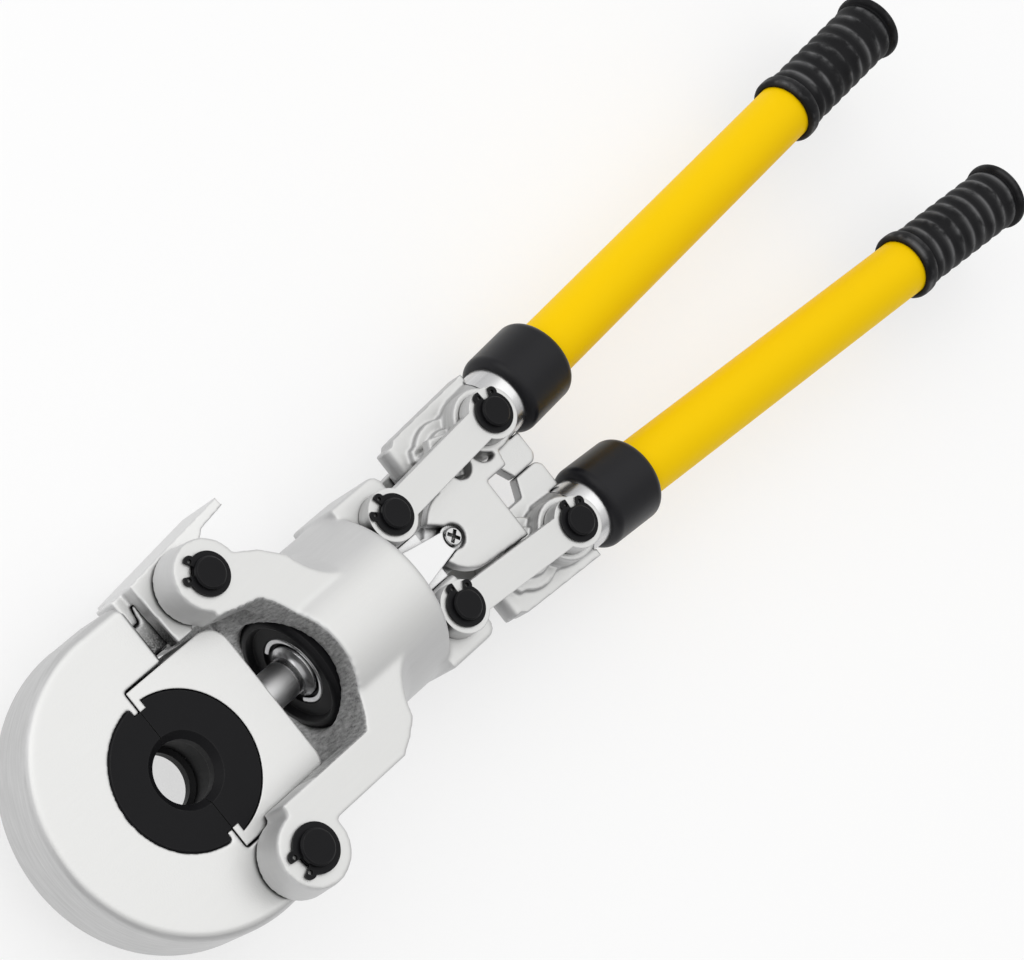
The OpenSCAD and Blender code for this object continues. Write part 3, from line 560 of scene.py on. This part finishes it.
def make_steel(name, face, skin, edge, rough_face, rough_skin, grain, bump, radius, lines=0.28, dark_patch=None):
    """Steel with level faces of one tone and sides of another. lines is how dark the turned lines are."""
    material, tree, surface, fine, edges = start_material(name, radius, grain)
    surface.inputs["Metallic"].default_value = 1.0
    ground = add(tree, "ShaderNodeGroup", node_tree=GROUND_LINES)
    turned = add(tree, "ShaderNodeGroup", node_tree=GROUND_LINES)
    turned.inputs["Stretch"].default_value = TURNED_STRETCH
    gaps = add(tree, "ShaderNodeGroup", node_tree=CREVICES)
    cast = blend_colour(tree, tuple((1 - lines) * c for c in skin), skin, turned, "Line")
    # level faces lighter than the sides: partly a ground finish, partly a painted highlight
    colour = blend_colour(tree, cast, face, ground, "Level")
    # a dark patch: raw skin in the pocket, painted shade in the catch groove and the screw recess
    if dark_patch:
        colour = raw_skin_and_shade(tree, colour, fine, **dark_patch)
    rubbed = blend_colour(tree, colour, edge, edges, "Edge")
    # narrow gaps and inner corners are painted darker, as shade
    gap_shaded = blend_colour(tree, rubbed, GAP_SHADE, gaps, "Gap")
    join(tree, gap_shaded, "Result", surface, "Base Color")
    dull = add(tree, "ShaderNodeMapRange")
    set_range(dull, 0.0, 1.0, rough_skin, rough_face)
    uneven = add(tree, "ShaderNodeMath", operation="MULTIPLY_ADD")
    uneven.inputs[1].default_value = LINE_ROUGHNESS
    join(tree, ground, "Level", dull, "Value")
    join(tree, ground, "Line", uneven, 0)
    join(tree, dull, "Result", uneven, 2)
    join(tree, uneven, 0, surface, "Roughness")
    bump_grain(tree, surface, fine, edges, bump)
    print("steel:", name)
    return material


print("turned lines, stretched per metre:", TURNED_STRETCH)

# %% Cast steel
MOULDED = {"rough_face": 0.36, "rough_skin": 0.44, "grain": 1400, "bump": 0.25, "radius": 0.0009}
CAST_STEEL = make_steel(
    "cast_steel", face=(0.75, 0.75, 0.74), skin=(0.69, 0.69, 0.69), edge=(0.88, 0.88, 0.87), **MOULDED)
JAW_STEEL = make_steel(
    "jaw_steel", face=(0.75, 0.75, 0.74), skin=(0.69, 0.69, 0.69), edge=(0.88, 0.88, 0.87), **MOULDED,
    dark_patch=CATCH_SHADE)
LATCH_STEEL = make_steel(
    "latch_steel", face=(0.78, 0.78, 0.77), skin=(0.76, 0.76, 0.76), edge=(0.92, 0.92, 0.91), **MOULDED,
    lines=0.06, dark_patch=CATCH_SHADE)
BRACKET_STEEL = make_steel(
    "bracket_steel", face=(0.69, 0.69, 0.68), skin=(0.60, 0.60, 0.60), edge=(0.86, 0.86, 0.85), **MOULDED)
HOUSING_STEEL = make_steel(
    "housing_steel", face=(0.74, 0.74, 0.73), skin=(0.70, 0.70, 0.70), edge=(0.90, 0.90, 0.89),
    rough_face=0.46, rough_skin=0.66, grain=1400, bump=0.25, radius=0.0014, lines=0.06, dark_patch=POCKET)

# %% Plated and bright steel
POLISHED = {"grain": 2200, "bump": 0.06}
PLATED_STEEL = make_steel(
    "plated_steel", face=(0.67, 0.67, 0.66), skin=(0.60, 0.60, 0.60), edge=(0.88, 0.88, 0.87),
    rough_face=0.34, rough_skin=0.36, grain=1800, bump=0.12, radius=0.0006)
BRIGHT_STEEL = make_steel(
    "bright_steel", face=(0.82, 0.82, 0.82), skin=(0.70, 0.70, 0.71), edge=(0.92, 0.92, 0.92),
    rough_face=0.20, rough_skin=0.20, radius=0.0004, **POLISHED)
RAM_STEEL = make_steel(
    "ram_steel", face=(0.82, 0.82, 0.82), skin=(0.80, 0.80, 0.81), edge=(0.92, 0.92, 0.92),
    rough_face=0.34, rough_skin=0.32, radius=0.0006, lines=0.06, **POLISHED)
SCREW_STEEL = make_steel(
    "screw_steel", face=(0.62, 0.62, 0.62), skin=(0.55, 0.55, 0.55), edge=(0.80, 0.80, 0.80),
    rough_face=0.26, rough_skin=0.30, radius=0.0003, lines=0.06, dark_patch=RECESS_SHADE, **POLISHED)

# %% [markdown]
# ## Rubber
# A grip is a black rubber sleeve. Its ribs are painted paler along their crests, as a painted sheen. The mesh
# of a grip carries a value called crest, from 0 in the valleys to 1 on the ribs. The finish reads it, and the
# blotches break the painted sheen up.

# %% Rubber
RUBBER_DARK, RUBBER_FACE = (0.003, 0.003, 0.004), (0.007, 0.007, 0.008)
# painted sheen along the crests of the ribs
RUBBER_SHEEN = (0.13, 0.13, 0.133)
RUBBER_SPECULAR = 0.16
SHEEN_FROM, SHEEN_TO = 0.40, 0.62


def make_rubber():
    material, tree, surface, fine, edges = start_material("grip_rubber", radius=0.0006, grain=1300)
    surface.inputs["Specular IOR Level"].default_value = RUBBER_SPECULAR
    crest = add(tree, "ShaderNodeAttribute", attribute_name="crest")
    patch = add(tree, "ShaderNodeMapRange", interpolation_type="SMOOTHSTEP")
    set_range(patch, SHEEN_FROM, SHEEN_TO)
    join(tree, fine, "Blotch", patch, "Value")
    crest_sheen = multiply(tree, crest, "Fac", patch, "Result")
    drifting = blend_colour(tree, RUBBER_DARK, RUBBER_FACE, fine, "Blotch")
    sheen_colour = blend_colour(tree, drifting, RUBBER_SHEEN, crest_sheen, 0)
    join(tree, sheen_colour, "Result", surface, "Base Color")
    drift_roughness(tree, surface, fine, low=0.46, high=0.62)
    bump_grain(tree, surface, fine, edges, strength=0.2)
    print("rubber:", material.name)
    return material


GRIP_RUBBER = make_rubber()

# %% [markdown]
# ## A finish for every node
# The record of the tool names a slot for each node, such as cast steel or yellow paint, and each slot has a
# finish. A few nodes have a finish of their own within their slot.

# %% Finish the nodes
FINISHES = {
    "cast_steel": CAST_STEEL, "plated_steel": PLATED_STEEL, "bright_steel": BRIGHT_STEEL,
    "black_steel": BLACK_STEEL, "black_plastic": BLACK_PLASTIC, "yellow_paint": YELLOW_PAINT,
    "grip_rubber": GRIP_RUBBER,
}
OWN_FINISH = {
    "housing": HOUSING_STEEL, "jaw_head": JAW_STEEL, "latch": LATCH_STEEL, "die_block": CAST_STEEL,
    "left_bracket": BRACKET_STEEL, "right_bracket": BRACKET_STEEL, "ram": RAM_STEEL, "pin_screw": SCREW_STEEL,
}
SLOT_OF = {part["node"]: part["material_slot"] for part in frame["record"]["subparts"]}
BODY_OF = {n: b for b, members in frame["record"]["behaviour"]["bodies"].items() for n in members}
for name, slot in SLOT_OF.items():
    nodes[name].data.materials.clear()
    nodes[name].data.materials.append(OWN_FINISH.get(name, FINISHES[slot]))
print("finishes:", len(FINISHES), "and", len(OWN_FINISH), "nodes with their own, on", len(SLOT_OF), "nodes")

# %% [markdown]
# ## Castings
# The housing, the jaw, the latch and the handle brackets are castings, and a casting has no sharp edge or
# corner. Bevelling every edge of such shapes by hand is slow, and a bevel breaks where curved walls meet. A
# copy of the solid is made into an even skin of small squares instead, and that skin is smoothed a few times,
# which rounds the edges and fills the inner corners as a mould does, while flat faces stay flat.

# %% Casting tools
WELD_MM = 0.01


def only_select(piece):
    bpy.ops.object.select_all(action="DESELECT")
    piece.select_set(True)
    bpy.context.view_layer.objects.active = piece


def apply_modifier(piece, kind, **values):
    modifier = piece.modifiers.new(kind.lower(), kind)
    for name, value in values.items():
        setattr(modifier, name, value)
    bpy.ops.object.modifier_apply(modifier=modifier.name)


def make_casting(node, square_mm, passes):
    piece = bpy.data.objects.new(node + "_casting", nodes[node].data.copy())
    bpy.context.scene.collection.objects.link(piece)
    only_select(piece)
    bpy.ops.object.mode_set(mode="EDIT")
    bpy.ops.mesh.select_all(action="SELECT")
    bpy.ops.mesh.remove_doubles(threshold=WELD_MM * MM)
    bpy.ops.object.mode_set(mode="OBJECT")
    apply_modifier(piece, "REMESH", mode="VOXEL", voxel_size=square_mm * MM, use_smooth_shade=True)
    apply_modifier(piece, "SMOOTH", factor=0.5, iterations=passes)
    bpy.ops.object.shade_smooth()
    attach(piece, BODY_OF[node])
    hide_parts(node)
    print(piece.name, 2 * len(piece.data.polygons), "triangles")


print("points closer than", WELD_MM, "mm are welded")

# %% Castings
make_casting("housing", square_mm=0.9, passes=4)
make_casting("jaw_head", square_mm=0.65, passes=5)
make_casting("latch", square_mm=0.6, passes=4)
make_casting("left_bracket", square_mm=0.55, passes=3)
make_casting("right_bracket", square_mm=0.55, passes=3)

# %% [markdown]
# ## Bush and shoulder
# The ram slides in a black bush. The face of the bush is dished, and the shoulder of the ram comes up to the
# ring in the dish when the dies are shut. Turned pieces like these could be cut from a cylinder, but they are
# made here as a potter throws a bowl: one ring of points, pulled along and opened or closed step by step. A
# list of rings is then all that a piece needs.

# %% Turning tools
RING_WELD_MM = 0.001
TURNED_AROUND = 96
TURNED_CREASE = math.radians(30)
UPRIGHT_TO_Y = math.radians(-90)


def throw_rings(name, rings, around):
    """Throws a piece along Z from rings of (distance, radius) in millimetres, and stays in edit mode."""
    bpy.ops.object.select_all(action="DESELECT")
    bpy.ops.mesh.primitive_circle_add(vertices=around, radius=rings[0][1] * MM, location=(0, 0, 0))
    piece = bpy.context.object
    piece.name = name
    bpy.ops.object.mode_set(mode="EDIT")
    bpy.ops.mesh.select_all(action="SELECT")
    bpy.ops.transform.translate(value=(0, 0, rings[0][0] * MM))
    for (was, was_r), (now, now_r) in zip(rings, rings[1:]):
        bpy.ops.mesh.extrude_region_move(TRANSFORM_OT_translate={"value": (0, 0, (now - was) * MM)})
        bpy.ops.transform.resize(value=(now_r / was_r, now_r / was_r, 1))
    return piece


def dress(piece, body, material):
    """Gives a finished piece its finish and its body."""
    piece.data.materials.append(material)
    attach(piece, body)
    print(piece.name, 2 * len(piece.data.polygons), "triangles")


def make_turned(name, rings, body, material):
    """A closed turned piece about the Y axis: the last ring meets the first."""
    piece = throw_rings(name, rings + rings[:1], TURNED_AROUND)
    bpy.ops.mesh.select_all(action="SELECT")
    bpy.ops.mesh.remove_doubles(threshold=RING_WELD_MM * MM)
    bpy.ops.mesh.normals_make_consistent(inside=False)
    bpy.ops.object.mode_set(mode="OBJECT")
    piece.rotation_euler = (UPRIGHT_TO_Y, 0, 0)
    only_select(piece)
    bpy.ops.object.transform_apply(location=True, rotation=True, scale=True)
    bpy.ops.object.shade_smooth_by_angle(angle=TURNED_CREASE)
    dress(piece, body, material)
    return piece


print("points round a turned piece:", TURNED_AROUND)

# %% Bush and shoulder
BUSH_RINGS_MM = [
    (88.0, 11.1), (69.0, 11.1), (69.0, 14.5), (67.6, 14.5), (67.6, 19.6), (65.4, 20.6), (65.0, 21.1),
    (65.0, 22.6), (65.5, 23.6), (66.6, 24.5), (88.0, 24.5)]
SHOULDER_RINGS_MM = [
    (62.5, 7.6), (62.5, 7.76), (65.2, 7.9), (66.2, 8.6), (66.8, 9.6), (67.4, 10.6), (68.2, 10.96),
    (72.0, 10.96), (72.0, 7.6)]
bush = make_turned("guide_bush_dished", BUSH_RINGS_MM, "housing", BLACK_STEEL)
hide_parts("guide_bush")
make_turned("ram_shoulder", SHOULDER_RINGS_MM, "ram", BRIGHT_STEEL)

# %% [markdown]
# ## Snap ring
# A snap ring of bright wire lies in the dish of the bush. It is open at its lower side, so it can't be thrown
# like the bush. Its flattened round section is spun through part of a turn instead.

# %% Snap ring
WIRE_MM = {"middle": 13.25, "width": 2.3, "thickness": 1.5, "place": 68.2}
WIRE_POINTS, WIRE_STEPS = 16, 84
WIRE_SWEEP, WIRE_START = math.radians(247), math.radians(32)
WIRE_CREASE = math.radians(40)


def make_snap_ring():
    bpy.ops.object.select_all(action="DESELECT")
    bpy.ops.mesh.primitive_circle_add(vertices=WIRE_POINTS, radius=WIRE_MM["width"] / 2 * MM,
                                      fill_type="NGON", location=(0, 0, 0))
    piece = bpy.context.object
    piece.name = "retaining_ring_wire"
    bpy.ops.object.mode_set(mode="EDIT")
    bpy.ops.mesh.select_all(action="SELECT")
    bpy.ops.transform.resize(value=(1, WIRE_MM["thickness"] / WIRE_MM["width"], 1))
    bpy.ops.transform.translate(value=(WIRE_MM["middle"] * MM, WIRE_MM["place"] * MM, 0))
    bpy.ops.mesh.spin(steps=WIRE_STEPS, angle=WIRE_SWEEP, center=(0, 0, 0), axis=(0, 1, 0))
    bpy.ops.mesh.select_all(action="SELECT")
    bpy.ops.mesh.normals_make_consistent(inside=False)
    bpy.ops.object.mode_set(mode="OBJECT")
    piece.rotation_euler = (0, WIRE_START, 0)
    only_select(piece)
    bpy.ops.object.transform_apply(location=True, rotation=True, scale=True)
    bpy.ops.object.shade_smooth_by_angle(angle=WIRE_CREASE)
    dress(piece, "housing", BRIGHT_STEEL)
    return piece


snap_ring = make_snap_ring()
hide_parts("retaining_ring")
heights = [v.co.z / MM for v in snap_ring.data.vertices]
print("snap ring from", round(min(heights), 1), "to", round(max(heights), 1), "mm in height")

# %% [markdown]
# ## Grips
# Each grip is a sleeve with a cuff at its mouth, eight rounded ribs and a narrow flange at its end. It is
# thrown in the same way as the bush: one ring of points at the bottom of its bore, pulled to the mouth and back
# along the outside, and opened or closed step by step. A face at either end of this row of rings closes it.

# %% Grip profile
GRIP_MM = {"length": 70.0, "flange": 15.2, "mouth": 12.6, "root": 12.9, "crest": 13.8, "bore_end": 67.2,
           "lip": 1.0, "cuff_length": 7.0, "flange_length": 4.0, "cap_radius": 2.0, "dimple": 0.8}
RIBS = 8
# distance from the bottom of the bore, distance inside the wall of the bore
BORE_RINGS_MM = ((0.0, 0.5), (0.5, 0.0), (1.5, 0.0))
# distance from the mouth, distance inside the flange's radius, painted sheen
CUFF_RINGS_MM = ((0.0, 1.6, 0), (0.35, 0.7, 0.2), (1.2, 0.0, 0.9), (3.6, 0.05, 0.1), (5.8, 0.15, 0.5),
                 (6.7, 0.8, 0.1))
# share of the pitch, share of the rib's height, painted sheen
RIB_RINGS = ((0.16, 0.25, 0), (0.34, 0.75, 0.1), (0.5, 0.97, 0.5), (0.6, 1.0, 1.0), (0.7, 0.9, 0.6),
             (0.82, 0.4, 0.1), (0.92, 0.0, 0))
# distance from the end, distance inside the flange's radius, painted sheen
FLANGE_RINGS_MM = ((3.7, 0.9, 0.1), (3.1, 0.1, 0.3), (1.9, 0.0, 0.1), (1.0, 0.0, 0.5), (0.3, 0.6, 0.3),
                   (0.0, 1.6, 0.1), (0.0, 4.0, 0), (GRIP_MM["dimple"], 4.6, 0))


def grip_profile():
    """Rings of (distance along the grip, radius, crest value), in millimetres."""
    g = GRIP_MM
    rings = [(g["bore_end"], g["cap_radius"], 0)]
    rings += [(g["bore_end"] - up, g["mouth"] - inside, 0) for up, inside in BORE_RINGS_MM]
    rings += [(g["lip"], g["mouth"], 0), (0.0, g["mouth"], 0)]
    rings += [(along, g["flange"] - inside, wear_and_sheen) for along, inside, wear_and_sheen in CUFF_RINGS_MM]
    rings.append((g["cuff_length"], g["root"], 0))
    pitch = (g["length"] - g["cuff_length"] - g["flange_length"]) / RIBS
    for rib in range(RIBS):
        start = g["cuff_length"] + rib * pitch
        for share, rise, wear_and_sheen in RIB_RINGS:
            rings.append((start + share * pitch, g["root"] + rise * (g["crest"] - g["root"]), wear_and_sheen))
    rings.append((g["length"] - g["flange_length"], g["root"], 0))
    rings += [(g["length"] - back, g["flange"] - inside, wear_and_sheen) for back, inside, wear_and_sheen in FLANGE_RINGS_MM]
    rings.append((g["length"] - g["dimple"], g["cap_radius"], 0))
    return rings


print("rings of a grip:", len(grip_profile()))

# %% Grips
GRIP_AROUND = 72
HANDLE_FOOT_MM = (26.5, 192.5)
HANDLE_LEAN = math.radians(3.75)
GRIP_START_MM = 230.0


def make_grip(side, body, node):
    """A grip on the handle at the left, side -1, or at the right, side 1."""
    rings = grip_profile()
    piece = throw_rings(node + "_rubber", [(along, radius) for along, radius, _ in rings], GRIP_AROUND)
    bpy.ops.mesh.edge_face_add()
    bpy.ops.mesh.select_all(action="DESELECT")
    bpy.ops.mesh.select_non_manifold()
    bpy.ops.mesh.edge_face_add()
    bpy.ops.mesh.select_all(action="SELECT")
    bpy.ops.mesh.normals_make_consistent(inside=False)
    bpy.ops.object.mode_set(mode="OBJECT")
    # the crest value is the painted sheen that the rubber's finish reads
    crest = piece.data.attributes.new("crest", "FLOAT", "POINT")
    crest.data.foreach_set("value", [wear_and_sheen for _, _, wear_and_sheen in rings for _ in range(GRIP_AROUND)])
    piece.rotation_euler = (UPRIGHT_TO_Y, 0, -side * HANDLE_LEAN)
    along_handle = Vector((side * math.sin(HANDLE_LEAN), math.cos(HANDLE_LEAN), 0))
    foot = Vector((side * HANDLE_FOOT_MM[0], HANDLE_FOOT_MM[1], 0))
    piece.location = foot * MM + along_handle * GRIP_START_MM * MM
    only_select(piece)
    bpy.ops.object.transform_apply(location=True, rotation=True, scale=True)
    apply_modifier(piece, "SUBSURF", levels=1, render_levels=1)
    bpy.ops.object.shade_smooth()
    dress(piece, body, GRIP_RUBBER)
    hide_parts(node)


make_grip(-1, "left_handle", "left_grip")
make_grip(1, "right_handle", "right_grip")
